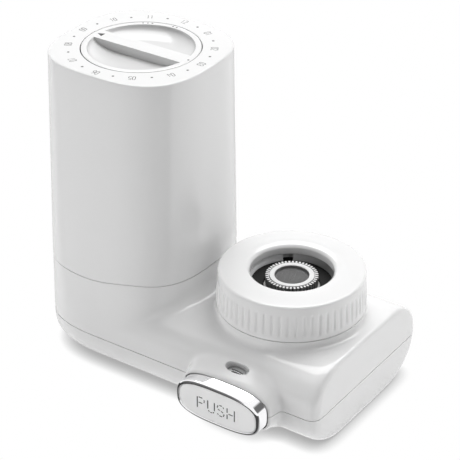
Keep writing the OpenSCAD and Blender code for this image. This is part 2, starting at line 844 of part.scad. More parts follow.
// Cartridge socket: seat under the cartridge, with the spigot's tube and the feed port
module cartridge_socket() {
    color("gainsboro") difference() {
        union() {
            translate([0, 0, seat_z - seat_h]) linear_extrude(seat_h)
                polygon(tower_outline(seat_z - seat_h, wall + fit));
            translate([0, 0, socket_bottom])
                cylinder(r = socket_tube_r, h = seat_z - seat_h - socket_bottom + 1);
            translate([feed_port_x, feed_y, feed_z - feed_boss_r])
                cylinder(r = feed_boss_r, h = seat_z - feed_z + 4);
            for (p = tower_screws)
                translate([p[0], p[1], seam_z]) cylinder(r = screw_boss_r, h = seat_z - seam_z - 1);
        }
        translate([0, 0, spigot_end - 0.5]) cylinder(r = spigot_r + 0.3, h = 40);
        translate([0, 0, return_z - return_bore]) cylinder(r = return_bore + 1, h = 40);
        translate([feed_port_x, feed_y, feed_z - duct_bore]) cylinder(r = duct_bore, h = 40);
        translate([feed_port_x + 1, feed_y, feed_z]) rotate([0, 90, 0])
            cylinder(r = duct_r + shaft_fit, h = 10);
        translate([feed_port_x, feed_y, feed_z]) rotate([0, 90, 0]) cylinder(r = duct_bore, h = 10);
        translate([socket_tube_r - 3, 0, return_z]) rotate([0, 90, 0])
            cylinder(r = return_r + shaft_fit, h = 10);
        translate([0, 0, return_z]) rotate([0, 90, 0]) cylinder(r = return_bore, h = 10);
        for (p = tower_screws)
            translate([p[0], p[1], seam_z - 1]) cylinder(r = screw_r + shaft_fit, h = screw_hole_h + 1);
    }
}

// Ducts: tubes along the base, plugged in at both ends
module feed_duct() {
    start = feed_port_x + 1;
    color("silver") translate([start, feed_y, feed_z]) rotate([0, 90, 0])
        tube(duct_r, duct_bore, feed_end - start);
}
module return_duct() {
    start = socket_tube_r - 3;
    color("silver") translate([start, 0, return_z]) rotate([0, 90, 0])
        tube(return_r, return_bore, outlet_x - outlet_bore - start);
}

// Filtered outlet: nozzle with a flange inside the belly
module filtered_outlet() {
    color("white") difference() {
        union() {
            translate([outlet_x, collar_y, 0.8]) cylinder(r = outlet_r, h = 2.4);
            translate([outlet_x, collar_y, wall + 0.6]) cylinder(r = outlet_r + 2, h = outlet_top - wall - 0.6);
        }
        translate([outlet_x, collar_y, -1]) cylinder(r = outlet_bore, h = outlet_top - 1);
        translate([outlet_x - outlet_bore, 0, return_z]) rotate([0, -90, 0])
            cylinder(r = return_r + shaft_fit, h = 10);
        translate([outlet_x, 0, return_z]) rotate([0, -90, 0]) cylinder(r = return_bore, h = 10);
    }
}

// Spray plate and stream nozzle, under the valve body
module spray_plate() {
    color("lightgray") at_collar(spray_z) difference() {
        union() {
            cylinder(r = spray_r, h = spray_h);
            translate([0, 0, spray_h - eps])
                tube(chamber_r - shaft_fit, chamber_r - 1.6, valve_z + 3 - spray_z - spray_h);
        }
        translate([0, 0, -1]) cylinder(r = nozzle_r + shaft_fit, h = 5);
        for (row = spray_rows, i = [0 : row[1] - 1])
            rotate(360 * i / row[1]) translate([row[0], 0, -1]) cylinder(r = spray_hole, h = 5, $fn = 16);
    }
}
module stream_nozzle() {
    color("gainsboro") at_collar(0.4) difference() {
        union() {
            cylinder(r = nozzle_r, h = valve_z + 2);
            translate([0, 0, spray_z + spray_h - 0.4]) cylinder(r = nozzle_r + 1.2, h = 1.4);
        }
        translate([0, 0, -1]) cylinder(r = nozzle_bore, h = 20);
    }
}

// Housing screws: two up into the socket's bosses and two into the deck's bosses
module housing_screws() {
    head_z = screw_seat - screw_head_h;
    color("silver") for (p = concat(tower_screws, deck_screws)) translate([p[0], p[1], head_z]) {
        difference() {
            cylinder(r = screw_head_r, h = screw_head_h);
            translate([-0.4, -1.8, -1]) cube([0.8, 3.6, 1.8]);
            translate([-1.8, -0.4, -1]) cube([3.6, 0.8, 1.8]);
        }
        translate([0, 0, screw_head_h - eps]) cylinder(r = screw_r, h = screw_l);
    }
}

tower_cap();
month_dial();
dial_clip();
base_upper();
base_lower();
collar_nut();
split_ring();
collar_gasket();
inlet_sleeve();
inlet_screen();
push_button();
button_ring();
button_stem();
button_spring();
button_guide();
mode_drum();
valve_rotor();
valve_body();
window_lens();
cartridge_shell();
cartridge_lid();
carbon_core();
cartridge_spigot();
spigot_seals();
cartridge_socket();
feed_duct();
return_duct();
filtered_outlet();
spray_plate();
stream_nozzle();
housing_screws();
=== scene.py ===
import json
import math

import bmesh
import bpy
from mathutils import Matrix, Vector


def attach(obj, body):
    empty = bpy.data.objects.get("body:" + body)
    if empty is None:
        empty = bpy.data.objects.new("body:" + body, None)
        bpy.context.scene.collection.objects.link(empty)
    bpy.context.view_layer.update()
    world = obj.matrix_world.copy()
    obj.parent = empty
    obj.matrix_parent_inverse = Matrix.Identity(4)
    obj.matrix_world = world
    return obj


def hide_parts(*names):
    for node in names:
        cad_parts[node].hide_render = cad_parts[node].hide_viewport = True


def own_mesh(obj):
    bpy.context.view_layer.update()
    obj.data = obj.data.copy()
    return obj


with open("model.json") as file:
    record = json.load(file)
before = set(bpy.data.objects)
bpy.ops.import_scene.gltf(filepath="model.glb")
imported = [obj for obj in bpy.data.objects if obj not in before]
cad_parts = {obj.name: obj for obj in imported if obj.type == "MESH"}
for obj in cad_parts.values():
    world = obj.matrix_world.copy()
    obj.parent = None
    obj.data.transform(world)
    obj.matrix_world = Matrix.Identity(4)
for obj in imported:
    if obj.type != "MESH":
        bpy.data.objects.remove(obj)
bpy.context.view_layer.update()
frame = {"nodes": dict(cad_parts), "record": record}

MM = 0.001


# Studio
# A large soft lamp high at the back, weak ones at the left and right, and a pale surround
# that is darker behind the camera. Two dark cards and the table's dark front show only in
# glossy pieces. The white table glows for the camera, with a narrow painted shadow where
# occlusion finds the object near; light that bounces off it finds it white, with a faint glow of its own.
CAMERA_PLACE = (0.38143, -0.49534, 0.41579)
CAMERA_AZIMUTH = 34.46
CAMERA_ELEVATION = 30.37
CAMERA_LENS = 138.5
LAMP_TARGET = (0.03, 0, 0.05)
WORLD_LIGHT, BEHIND_CAMERA = 0.38, 0.34
CARD_DARK = 0.85
TABLE_GLOW = 0.16
SHADOW_REACH, SHADOW_TONE = 0.0065, 0.4
FRONT_START, FRONT_END, FRONT_TONE = -0.055, -0.035, 0.06
SIDE_END, SIDE_TONE = 0.06, 0.66

camera_data = bpy.data.cameras.new("camera")
camera_data.lens = CAMERA_LENS
camera_data.sensor_width = 36
camera = bpy.data.objects.new("camera", camera_data)
camera.location = CAMERA_PLACE
camera.rotation_euler = (math.radians(90 - CAMERA_ELEVATION), 0, math.radians(CAMERA_AZIMUTH))
bpy.context.scene.collection.objects.link(camera)
bpy.context.scene.camera = camera
bpy.context.scene.view_settings.view_transform = "Standard"


def area_lamp(name, place, size, power):
    data = bpy.data.lights.new(name, "AREA")
    data.shape = "RECTANGLE"
    data.size, data.size_y = size
    data.energy = power
    lamp = bpy.data.objects.new(name, data)
    lamp.location = place
    lamp.rotation_euler = (Vector(LAMP_TARGET) - Vector(place)).to_track_quat("-Z", "Y").to_euler()
    bpy.context.scene.collection.objects.link(lamp)


area_lamp("lamp_over", (-0.1, 0.6, 1.4), (1.6, 1.2), 22)
area_lamp("lamp_right", (1.3, -0.2, 0.7), (0.9, 0.9), 1.2)
area_lamp("lamp_left", (-0.85, -1.05, 0.2), (1.1, 0.5), 5.5)
for side in ("lamp_left", "lamp_right"):
    bpy.data.objects[side].visible_glossy = False

world = bpy.data.worlds.new("surround")
bpy.context.scene.world = world
world.use_nodes = True
sky = world.node_tree
sky.nodes.clear()


def sky_math(operation, first, second):
    node = sky.nodes.new("ShaderNodeMath")
    node.operation = operation
    for socket, value in zip(node.inputs, (first, second)):
        if isinstance(value, (int, float)):
            socket.default_value = value
        else:
            sky.links.new(value, socket)
    return node.outputs[0]


def sky_patch(direction, inner, outer):
    """A value that is 1 within inner degrees of a direction and falls to 0 at outer degrees."""
    place = sky.nodes.new("ShaderNodeTexCoord")
    along = sky.nodes.new("ShaderNodeVectorMath")
    along.operation = "DOT_PRODUCT"
    along.inputs[1].default_value = Vector(direction).normalized()
    sky.links.new(place.outputs["Generated"], along.inputs[0])
    ramp = sky.nodes.new("ShaderNodeMapRange")
    ramp.inputs["From Min"].default_value = math.cos(math.radians(outer))
    ramp.inputs["From Max"].default_value = math.cos(math.radians(inner))
    sky.links.new(along.outputs["Value"], ramp.inputs["Value"])
    return ramp.outputs["Result"]


sky_out = sky.nodes.new("ShaderNodeOutputWorld")
sky_mix = sky.nodes.new("ShaderNodeMixShader")
sky_lit = sky.nodes.new("ShaderNodeBackground")
sky_lit.inputs["Color"].default_value = (1, 1, 1, 1)
sky_behind = sky_math("MULTIPLY", sky_patch((0.488, -0.711, 0.506), 30, 55), BEHIND_CAMERA)
sky.links.new(sky_math("SUBTRACT", WORLD_LIGHT, sky_behind), sky_lit.inputs["Strength"])
sky_seen = sky.nodes.new("ShaderNodeBackground")
sky_seen.inputs["Color"].default_value = (1, 1, 1, 1)
sky_path = sky.nodes.new("ShaderNodeLightPath")
low_card = sky_patch((-0.488, -0.78, 0.39), 27, 32)
high_card = sky_patch((0.81, 0.18, 0.56), 15, 24)
sky_cards = sky_math("MAXIMUM", low_card, high_card)
sky_dark = sky_math("MULTIPLY", sky_math("MULTIPLY", sky_cards, sky_path.outputs["Is Glossy Ray"]), CARD_DARK)
sky.links.new(sky_math("SUBTRACT", 1.0, sky_dark), sky_seen.inputs["Strength"])
sky_direct = sky_math("MAXIMUM", sky_path.outputs["Is Camera Ray"], sky_path.outputs["Is Glossy Ray"])
sky_any = sky_math("MAXIMUM", sky_direct, sky_path.outputs["Is Transmission Ray"])
sky.links.new(sky_any, sky_mix.inputs["Fac"])
sky.links.new(sky_lit.outputs[0], sky_mix.inputs[1])
sky.links.new(sky_seen.outputs[0], sky_mix.inputs[2])
sky.links.new(sky_mix.outputs[0], sky_out.inputs["Surface"])

bpy.ops.object.select_all(action="DESELECT")
bpy.ops.mesh.primitive_plane_add(size=6, location=(0, 0, -0.0002))
table_top = bpy.context.active_object
table_top.name = "table_top"
table_paint = bpy.data.materials.new("table_paint")
table_paint.use_nodes = True
table_tree = table_paint.node_tree
table_shader = table_tree.nodes["Principled BSDF"]
table_shader.inputs["Base Color"].default_value = (0.97, 0.97, 0.97, 1)
table_shader.inputs["Emission Color"].default_value = (1, 1, 1, 1)
table_shader.inputs["Emission Strength"].default_value = TABLE_GLOW
table_shader.inputs["Roughness"].default_value = 0.9
table_shader.inputs["Specular IOR Level"].default_value = 0.0
# Painted shadow: the camera sees the table's glow dimmed by ambient occlusion near the object.
table_painted_shadow = table_tree.nodes.new("ShaderNodeAmbientOcclusion")
table_painted_shadow.inputs["Distance"].default_value = SHADOW_REACH
table_tone = table_tree.nodes.new("ShaderNodeMapRange")
table_tone.inputs["From Min"].default_value = 0.2
table_tone.inputs["From Max"].default_value = 0.9
table_tone.inputs["To Min"].default_value = SHADOW_TONE
table_glow = table_tree.nodes.new("ShaderNodeEmission")
table_path = table_tree.nodes.new("ShaderNodeLightPath")
table_mix = table_tree.nodes.new("ShaderNodeMixShader")
table_tree.links.new(table_painted_shadow.outputs["AO"], table_tone.inputs["Value"])
table_tree.links.new(table_tone.outputs["Result"], table_glow.inputs["Strength"])
table_tree.links.new(table_path.outputs["Is Camera Ray"], table_mix.inputs["Fac"])
table_place = table_tree.nodes.new("ShaderNodeTexCoord")
table_split = table_tree.nodes.new("ShaderNodeSeparateXYZ")
table_front = table_tree.nodes.new("ShaderNodeMapRange")
table_front.inputs["From Min"].default_value = FRONT_START
table_front.inputs["From Max"].default_value = FRONT_END
table_front.inputs["To Min"].default_value = FRONT_TONE
table_side = table_tree.nodes.new("ShaderNodeMapRange")
table_side.inputs["From Max"].default_value = SIDE_END
table_side.inputs["To Min"].default_value = SIDE_TONE
table_both = table_tree.nodes.new("ShaderNodeMath")
table_both.operation = "MULTIPLY"
table_dim = table_tree.nodes.new("ShaderNodeEmission")
table_other = table_tree.nodes.new("ShaderNodeMixShader")
table_tree.links.new(table_place.outputs["Object"], table_split.inputs["Vector"])
table_tree.links.new(table_split.outputs["Y"], table_front.inputs["Value"])
table_tree.links.new(table_split.outputs["X"], table_side.inputs["Value"])
table_tree.links.new(table_front.outputs["Result"], table_both.inputs[0])
table_tree.links.new(table_side.outputs["Result"], table_both.inputs[1])
table_tree.links.new(table_both.outputs[0], table_dim.inputs["Strength"])
table_tree.links.new(table_path.outputs["Is Glossy Ray"], table_other.inputs["Fac"])
table_tree.links.new(table_shader.outputs["BSDF"], table_other.inputs[1])
table_tree.links.new(table_dim.outputs["Emission"], table_other.inputs[2])
table_tree.links.new(table_other.outputs["Shader"], table_mix.inputs[1])
table_tree.links.new(table_glow.outputs["Emission"], table_mix.inputs[2])
table_tree.links.new(table_mix.outputs["Shader"], table_tree.nodes["Material Output"].inputs["Surface"])
table_top.data.materials.append(table_paint)


# Base shells
# The body of the filter is two injection-moulded shells of glossy white ABS, screwed
# together from below. Their outside is one flowing form: belly, deck, pod for the
# button, the foot of the tower and the neck under the collar nut.
TOWER_FOOT = 33.5
TOWER_FOOT_LEFT = 35.3
TOWER_TOP = (32.7, 31.9)
TOWER_SQUARE = 2.9
TOWER_H = 132.0
CAP_LINE = 42.0
CAP_RISE = 3.5
SEAM_GAP = 0.3
CAP_GAP = 0.16
SHELL_WALL = 2.4
SEAM_Z = 15.6
DECK_END = 103.5
DECK_BACK = 42.2
DECK_Z = 34.6
DECK_CORNER = 4.5
BELLY_H, BELLY_IN = 18.6, 18.6
BELLY_FLAT = 17.0
BACK_ROUND = 18.0
FRONT_BELLY_H = 12.0
FREE_END_H, FREE_END_IN = 16.0, 14.0
FRONT_ROUND, FRONT_ROUND_H, FRONT_POWER = 19.0, 13.0, 2.25
FLARE_R = 6.0
FLARE_RISE = 5.4
COLLAR = (67.9, 4.4)
NECK_R = 29.7
NECK_TOP = 37.8
BOSS = (21.6, 19.4, 50.2)
BUTTON = (66.8, 15.2)
RING_W, RING_H = 38.2, 17.0
RING_FRONT = 46.0
BEZEL_Y = 40.0
POD_SLOPE = 0.43
DRUM_R = 10.0
DRUM_ROOM = (35.9, 30.0)
OUTLET = (42.5, 4.4)
SCREWS = ((-18, -15.5), (-18, 15.5), (95, -23), (95, 30.2))
VOXEL = 0.7


def signed_power(v, p):
    return math.copysign(abs(v) ** p, v)


def smooth_step(t):
    c = min(1.0, max(0.0, t))
    return c * c * (3 - 2 * c)


def mix(a, b, t):
    return a + (b - a) * t


def squircle(a, b, power, count):
    """Points of a superellipse, evenly spread along its outline."""
    fine = []
    for i in range(count * 16):
        t = 2 * math.pi * i / (count * 16)
        fine.append((a * signed_power(math.cos(t), 2 / power), b * signed_power(math.sin(t), 2 / power)))
    lengths = [0.0]
    for i, p in enumerate(fine):
        q = fine[(i + 1) % len(fine)]
        lengths.append(lengths[-1] + math.dist(p, q))
    points, k = [], 0
    for i in range(count):
        want = lengths[-1] * i / count
        while lengths[k + 1] < want:
            k += 1
        t = (want - lengths[k]) / max(1e-9, lengths[k + 1] - lengths[k])
        p, q = fine[k], fine[(k + 1) % len(fine)]
        points.append((mix(p[0], q[0], t), mix(p[1], q[1], t)))
    return points


def ring_loft(name, rings, closed=False):
    """A skin through rings of points in millimetres, extruded ring by ring in edit mode."""
    bpy.ops.object.select_all(action="DESELECT")
    fill = "NOTHING" if closed else "NGON"
    bpy.ops.mesh.primitive_circle_add(vertices=len(rings[0]), radius=1, fill_type=fill)
    piece = bpy.context.active_object
    piece.name = name
    bpy.ops.object.mode_set(mode="EDIT")
    shape = bmesh.from_edit_mesh(piece.data)
    count = len(rings[0])
    shape.verts.ensure_lookup_table()
    loops = [list(shape.verts)]
    for ring in rings[1:]:
        loops.append([shape.verts.new((0, 0, 0)) for _ in ring])
    for loop, ring in zip(loops, rings):
        for v, p in zip(loop, ring):
            v.co = Vector(p) * MM
    pairs = list(zip(loops, loops[1:]))
    if closed:
        pairs.append((loops[-1], loops[0]))
    for low, high in pairs:
        for i in range(count):
            j = (i + 1) % count
            shape.faces.new((low[i], low[j], high[j], high[i]))
    if not closed:
        shape.faces.new(loops[-1])
    bmesh.update_edit_mesh(piece.data)
    bpy.ops.mesh.select_all(action="SELECT")
    bpy.ops.mesh.normals_make_consistent(inside=False)
    bpy.ops.object.mode_set(mode="OBJECT")
    return piece


def apply_modifier(piece, kind, **settings):
    bpy.ops.object.select_all(action="DESELECT")
    bpy.context.view_layer.objects.active = piece
    piece.select_set(True)
    modifier = piece.modifiers.new(kind.lower(), kind)
    for key, value in settings.items():
        setattr(modifier, key, value)
    bpy.ops.object.modifier_apply(modifier=modifier.name)


def cut(piece, tool):
    """Takes the tool's volume out of the piece, and deletes the tool."""
    apply_modifier(piece, "BOOLEAN", object=tool, operation="DIFFERENCE", solver="EXACT")
    bpy.data.objects.remove(tool)


def join(piece, *others):
    bpy.ops.object.select_all(action="DESELECT")
    for part in (piece, *others):
        part.select_set(True)
    bpy.context.view_layer.objects.active = piece
    bpy.ops.object.join()
    return piece


def arc(cx, cy, rx, ry, start, end, steps, power=2.0):
    points = []
    for i in range(steps + 1):
        a = math.radians(mix(start, end, i / steps))
        x, y = signed_power(math.cos(a), 2 / power), signed_power(math.sin(a), 2 / power)
        points.append((cx + rx * x, cy + ry * y))
    return points


def prism(name, outline, low, high, place):
    """A straight solid on an outline; place turns an outline point and a height into X, Y, Z."""
    return ring_loft(name, [[place(p, low) for p in outline], [place(p, high) for p in outline]])


def upright(p, h):
    return p[0], p[1], h


def circle(r, count=128, middle=(0, 0)):
    angles = [2 * math.pi * i / count for i in range(count)]
    return [(middle[0] + r * math.cos(a), middle[1] + r * math.sin(a)) for a in angles]


def cylinder(name, r, low, high, middle=(0, 0), count=128):
    return prism(name, circle(r, count, middle), low, high, upright)


def back_at(x):
    return mix(TOWER_FOOT, DECK_BACK, smooth_step((x - 6) / 46))


def quarter(share, power=2.0):
    """How much of a quarter of an ellipse is left at a share of its height."""
    return (1 - min(1.0, max(0.0, share)) ** power) ** (1 / power)


def tower_half(z):
    """Half widths of the tower, towards the collar and away from it, and its half depth."""
    t = (z - CAP_LINE) / (TOWER_H - CAP_LINE)
    up = max(0.0, t)
    right, depth = mix(TOWER_FOOT, TOWER_TOP[0], up), mix(TOWER_FOOT, TOWER_TOP[1], up)
    return right, mix(TOWER_FOOT_LEFT, TOWER_TOP[0], t), depth


TOWER_UNIT = squircle(1, 1, TOWER_SQUARE, 256)


def tower_ring(z, inset=0.0):
    right, left, depth = (half - inset for half in tower_half(z))
    return [(x * (left if x < 0 else right), y * depth, z) for x, y in TOWER_UNIT]


def back_reach(x, z):
    if z < BELLY_H:
        return mix(BELLY_FLAT, back_at(x), quarter((BELLY_H - z) / BELLY_H, 2.4))
    return mix(back_at(x) - BACK_ROUND, back_at(x), quarter((z - BELLY_H) / (DECK_Z - BELLY_H)))


def deck_ring(z):
    """Outline of the low body at a height: its free end is a superellipse, its right end is flat."""
    left = tower_half(z)[1] - FREE_END_IN * (1 - quarter((FREE_END_H - z) / FREE_END_H))
    if z < FRONT_BELLY_H:
        front = TOWER_FOOT - BELLY_IN * (1 - quarter((FRONT_BELLY_H - z) / FRONT_BELLY_H))
    else:
        up = (z - DECK_Z + FRONT_ROUND_H) / FRONT_ROUND_H
        front = TOWER_FOOT - FRONT_ROUND * (1 - quarter(up, FRONT_POWER))
    ring = arc(0, 0, left, back_reach(0, z), 90, 180, 60, TOWER_SQUARE)
    ring += arc(0, 0, left, front, 181.5, 270, 59, TOWER_SQUARE)
    ring += arc(DECK_END - DECK_CORNER, DECK_CORNER - front, DECK_CORNER, DECK_CORNER, 270, 360, 16)
    ring += [(x, back_reach(x, z)) for x in [DECK_END] + [mix(52, 6, i / 24) for i in range(25)]]
    return [(x, y, z) for x, y in ring]


def deck_solid():
    levels = [BELLY_H * (1 - math.cos(math.pi / 2 * i / 32)) for i in range(33)]
    levels += [BELLY_H + (DECK_Z - BELLY_H) * math.sin(math.pi / 2 * i / 24) for i in range(1, 25)]
    return ring_loft("deck", [deck_ring(z) for z in levels])


def flared_ring(z):
    """A ring of the tower's foot, run out to the deck on the collar's side."""
    ring = []
    for x, y, _ in tower_ring(z, 0.05):
        if y < 0:
            drop = FRONT_ROUND_H * (1 - quarter((FRONT_ROUND - TOWER_FOOT - y) / FRONT_ROUND, FRONT_POWER))
        else:
            drop = (DECK_Z - BELLY_H) * (1 - quarter((y - TOWER_FOOT + BACK_ROUND) / BACK_ROUND))
        out = FLARE_R * (1 - quarter((DECK_Z + FLARE_RISE - drop - z) / FLARE_R))
        a = math.atan2(y, x)
        w = smooth_step((math.cos(a) - 0.2) / 0.8)
        ring.append((x + out * w * math.cos(a), y + out * w * math.sin(a) * 0.5, z))
    return ring


def pod_ring(y):
    """Outline of the button's pod at a depth, which widens from the bezel back into the deck."""
    t = BEZEL_Y - y
    half_w = RING_W / 2 + 1.3 + 0.12 * t + 2.6 * smooth_step((t - 5.6) / 1.6)
    top = BUTTON[1] + RING_H / 2 + 1.3 + POD_SLOPE * t
    bottom = BUTTON[1] - RING_H / 2 - 1.3 - 0.22 * t
    outline = squircle(half_w, (top - bottom) / 2, 3, 160)
    return [(BUTTON[0] + x, -y, (top + bottom) / 2 + z) for x, z in outline]


def base_outside():
    levels = [mix(DECK_Z - FRONT_ROUND_H, DECK_Z + FLARE_RISE, i / 28) for i in range(29)]
    levels = [SEAM_Z + 2] + levels + [54]
    stub = ring_loft("stub", [flared_ring(z) for z in levels])
    depths = [BEZEL_Y, BEZEL_Y - 0.4, 38, 36, 34.4, 34, 33.6, 33.2, 32.8, 25, 22]
    pod = ring_loft("pod", [pod_ring(y) for y in depths])
    neck = cylinder("neck", NECK_R, DECK_Z - 6, NECK_TOP + 3, COLLAR, 256)
    body = join(deck_solid(), stub, pod, neck)
    apply_modifier(body, "REMESH", mode="VOXEL", voxel_size=VOXEL * MM)
    apply_modifier(body, "SMOOTH", factor=0.5, iterations=14)
    return body


def keep_side(piece, point, normal):
    """Keeps what lies on the side that normal points to, and closes the cut."""
    bpy.ops.object.select_all(action="DESELECT")
    bpy.context.view_layer.objects.active = piece
    piece.select_set(True)
    bpy.ops.object.mode_set(mode="EDIT")
    bpy.ops.mesh.select_all(action="SELECT")
    bpy.ops.mesh.bisect(plane_co=Vector(point) * MM, plane_no=normal, use_fill=True, clear_inner=True)
    bpy.ops.object.mode_set(mode="OBJECT")


def copy_of(piece, name):
    bpy.ops.object.select_all(action="DESELECT")
    twin = piece.copy()
    twin.data = piece.data.copy()
    twin.name = name
    bpy.context.scene.collection.objects.link(twin)
    return twin


base_upper_shell = base_outside()
base_upper_shell.name = "base_upper_shell"
base_lower_shell = copy_of(base_upper_shell, "base_lower_shell")
keep_side(base_upper_shell, (0, 0, SEAM_Z + SEAM_GAP / 2), (0, 0, 1))
keep_side(base_lower_shell, (0, 0, SEAM_Z - SEAM_GAP / 2), (0, 0, -1))


def cap_line(x):
    return CAP_LINE + CAP_RISE * smooth_step((x - 7 + 13) / 26)


def over_cap_line(lift, name="over_line"):
    """Everything above the curved line under the cap, moved up by lift."""
    line = [(-60, CAP_LINE + lift)] + [(x, cap_line(x) + lift) for x in range(-20, 41)]
    line += [(60, CAP_LINE + CAP_RISE + lift), (60, 200), (-60, 200)]
    return prism(name, line, -60, 60, lambda p, h: (p[0], h, p[1]))


def revolved(name, profile, middle):
    """A closed ring turned from a profile of radius and height points."""
    return ring_loft(name, [[(*p, z) for p in circle(r, 192, middle)] for r, z in profile], closed=True)


def behind_button(p, h):
    return BUTTON[0] + p[0], h, BUTTON[1] + p[1]


def bezel_tool():
    outline = squircle(RING_W / 2 + 0.42, RING_H / 2 + 0.42, 3, 160)
    return prism("bezel_tool", outline, -BEZEL_Y - 2, -36.6, behind_button)


def across(name, r, front, back, count=96):
    """A cylinder along the button's axis, from front to back."""
    return prism(name, circle(r, count), -front, -back, behind_button)


WINDOW = Vector((68.0, -33.8, 27.7))
WINDOW_TURN = Matrix.Rotation(math.atan(POD_SLOPE), 3, "X")


def window_oval(name, rx, ry, low, high):
    """A solid on the window's oval, from low to high along its tilted normal."""
    return prism(name, squircle(rx, ry, 2.2, 72), low, high,
                 lambda p, h: tuple(WINDOW + WINDOW_TURN @ Vector((p[0], p[1], h))))


cut(base_upper_shell, over_cap_line(-CAP_GAP / 2))
seat_outline = [p[:2] for p in tower_ring(CAP_LINE, SHELL_WALL + 0.1)]
cut(base_upper_shell, prism("seat_room", seat_outline, 34.1, 60, upright))
cut(base_upper_shell, cylinder("over_neck", NECK_R + 3, NECK_TOP, 60, COLLAR))
cut(base_upper_shell, cylinder("collar_room", BOSS[1], 20, 60, COLLAR))
cut(base_upper_shell, bezel_tool())
cut(base_upper_shell, window_oval("window_tool", 5.3, 2.45, -3.6, 3))
cut(base_upper_shell, across("drum_room", DRUM_R + 0.3, *DRUM_ROOM))
boss_profile = [(BOSS[1], NECK_TOP - 1), (BOSS[0], NECK_TOP - 1), (BOSS[0], 40.8), (BOSS[0] - 0.7, 40.8),
                (BOSS[0] - 0.7, 42.6), (BOSS[0], 42.6), (BOSS[0], BOSS[2] - 0.5), (BOSS[0] - 0.5, BOSS[2]),
                (BOSS[1] + 0.3, BOSS[2]), (BOSS[1], BOSS[2] - 0.3)]
collar_boss = revolved("collar_boss", boss_profile, COLLAR)
lip_profile = [(4.3, 34.2), (2.5, 34.2), (2.7, 38), (2.7, 49.4), (3.3, 50), (4.0, 50), (4.3, 49.7)]
stub_lip = ring_loft("stub_lip", [[(x, y, z) for x, y, _ in tower_ring(50, inset)] for inset, z in lip_profile],
                     closed=True)
join(base_upper_shell, collar_boss, stub_lip)

cut(base_lower_shell, bezel_tool())
cut(base_lower_shell, across("drum_room", DRUM_R + 0.3, *DRUM_ROOM))
cut(base_lower_shell, cylinder("spray_room", 14.1, -1, 6, COLLAR))
cut(base_lower_shell, cylinder("outlet_room", 5.1, -1, 12, OUTLET))
for screw in SCREWS:
    cut(base_lower_shell, cylinder("screw_room", 3.2, -1, 3.4, screw, 48))


def shade(piece, angle=35):
    bpy.ops.object.select_all(action="DESELECT")
    bpy.context.view_layer.objects.active = piece
    piece.select_set(True)
    bpy.ops.object.shade_smooth_by_angle(angle=math.radians(angle))


def moulded_plastic(name, color, roughness, coat=0.0, grain=0.02, grain_scale=900):
    """Moulded plastic: an even colour with a faint cloud in it, and a fine surface texture."""
    material = bpy.data.materials.new(name)
    material.use_nodes = True
    tree = material.node_tree
    shader = tree.nodes["Principled BSDF"]
    place = tree.nodes.new("ShaderNodeTexCoord")
    cloud = tree.nodes.new("ShaderNodeTexNoise")
    cloud.inputs["Scale"].default_value = 35
    cloud.inputs["Detail"].default_value = 3
    tint = tree.nodes.new("ShaderNodeMix")
    tint.data_type = "RGBA"
    tint.inputs["A"].default_value = (*[c * 0.985 for c in color], 1)
    tint.inputs["B"].default_value = (*color, 1)
    wear = tree.nodes.new("ShaderNodeMapRange")
    wear.inputs["To Min"].default_value = roughness * 0.85
    wear.inputs["To Max"].default_value = roughness * 1.15
    fine = tree.nodes.new("ShaderNodeTexNoise")
    fine.inputs["Scale"].default_value = grain_scale
    fine.inputs["Detail"].default_value = 2
    bump = tree.nodes.new("ShaderNodeBump")
    bump.inputs["Strength"].default_value = grain
    bump.inputs["Distance"].default_value = 0.0002
    for noise in (cloud, fine):
        tree.links.new(place.outputs["Object"], noise.inputs["Vector"])
    tree.links.new(cloud.outputs["Fac"], tint.inputs["Factor"])
    tree.links.new(cloud.outputs["Fac"], wear.inputs["Value"])
    tree.links.new(tint.outputs["Result"], shader.inputs["Base Color"])
    tree.links.new(wear.outputs["Result"], shader.inputs["Roughness"])
    tree.links.new(fine.outputs["Fac"], bump.inputs["Height"])
    tree.links.new(bump.outputs["Normal"], shader.inputs["Normal"])
    shader.inputs["Coat Weight"].default_value = coat
    shader.inputs["Coat Roughness"].default_value = 0.05
    return material


def paint_shade_over(material, source, start, end, first, last):
    """Paints shade into a plastic's colour: multiplies it by a tone that runs from first to last between two
    values.
    """
    tree = material.node_tree
    shader = tree.nodes["Principled BSDF"]
    ramp = tree.nodes.new("ShaderNodeMapRange")
    ramp.inputs["From Min"].default_value, ramp.inputs["From Max"].default_value = start, end
    ramp.inputs["To Min"].default_value, ramp.inputs["To Max"].default_value = first, last
    tone = tree.nodes.new("ShaderNodeVectorMath")
    tone.operation = "SCALE"
    node = tree.nodes.new(source[0])
    parts = tree.nodes.new("ShaderNodeSeparateXYZ")
    tree.links.new(node.outputs[source[1]], parts.inputs["Vector"])
    tree.links.new(parts.outputs[source[2]], ramp.inputs["Value"])
    tree.links.new(shader.inputs["Base Color"].links[0].from_socket, tone.inputs["Vector"])
    tree.links.new(ramp.outputs["Result"], tone.inputs["Scale"])
    tree.links.new(tone.outputs["Vector"], shader.inputs["Base Color"])


def finish_piece(piece, material, slot_name, body, *nodes, angle=35):
    shade(piece, angle)
    piece.data.materials.clear()
    piece.data.materials.append(material)
    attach(piece, body)
    if nodes:
        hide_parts(*nodes)


glossy_white = moulded_plastic("glossy_white_abs", (0.89, 0.89, 0.89), 0.16, coat=0.3)
finish_piece(base_upper_shell, glossy_white, "white_gloss", "base", "base_upper")
finish_piece(base_lower_shell, glossy_white, "white_gloss", "base", "base_lower")


# Tower cap
# The tall cover of the tower, one deep moulding in the same glossy white ABS. Its rim
# follows the curved joint line, and a round well in its top takes the month dial.
WELL_R = 23.7
WELL_FLOOR = 124.6
WELL_UNDER = 122.6
DIAL_R = 23.3
CAP_EDGE = 0.7


def cap_rim(inset):
    """The cap's lower edge, which rises with the joint line."""
    return [(x, y, cap_line(x) + CAP_GAP / 2) for x, y, _ in tower_ring(CAP_LINE, inset)]


def facing_circle(r, z, like):
    """A circle whose points face those of another ring."""
    points = []
    for x, y, _ in like:
        d = math.hypot(x, y)
        points.append((r * x / d, r * y / d, z))
    return points


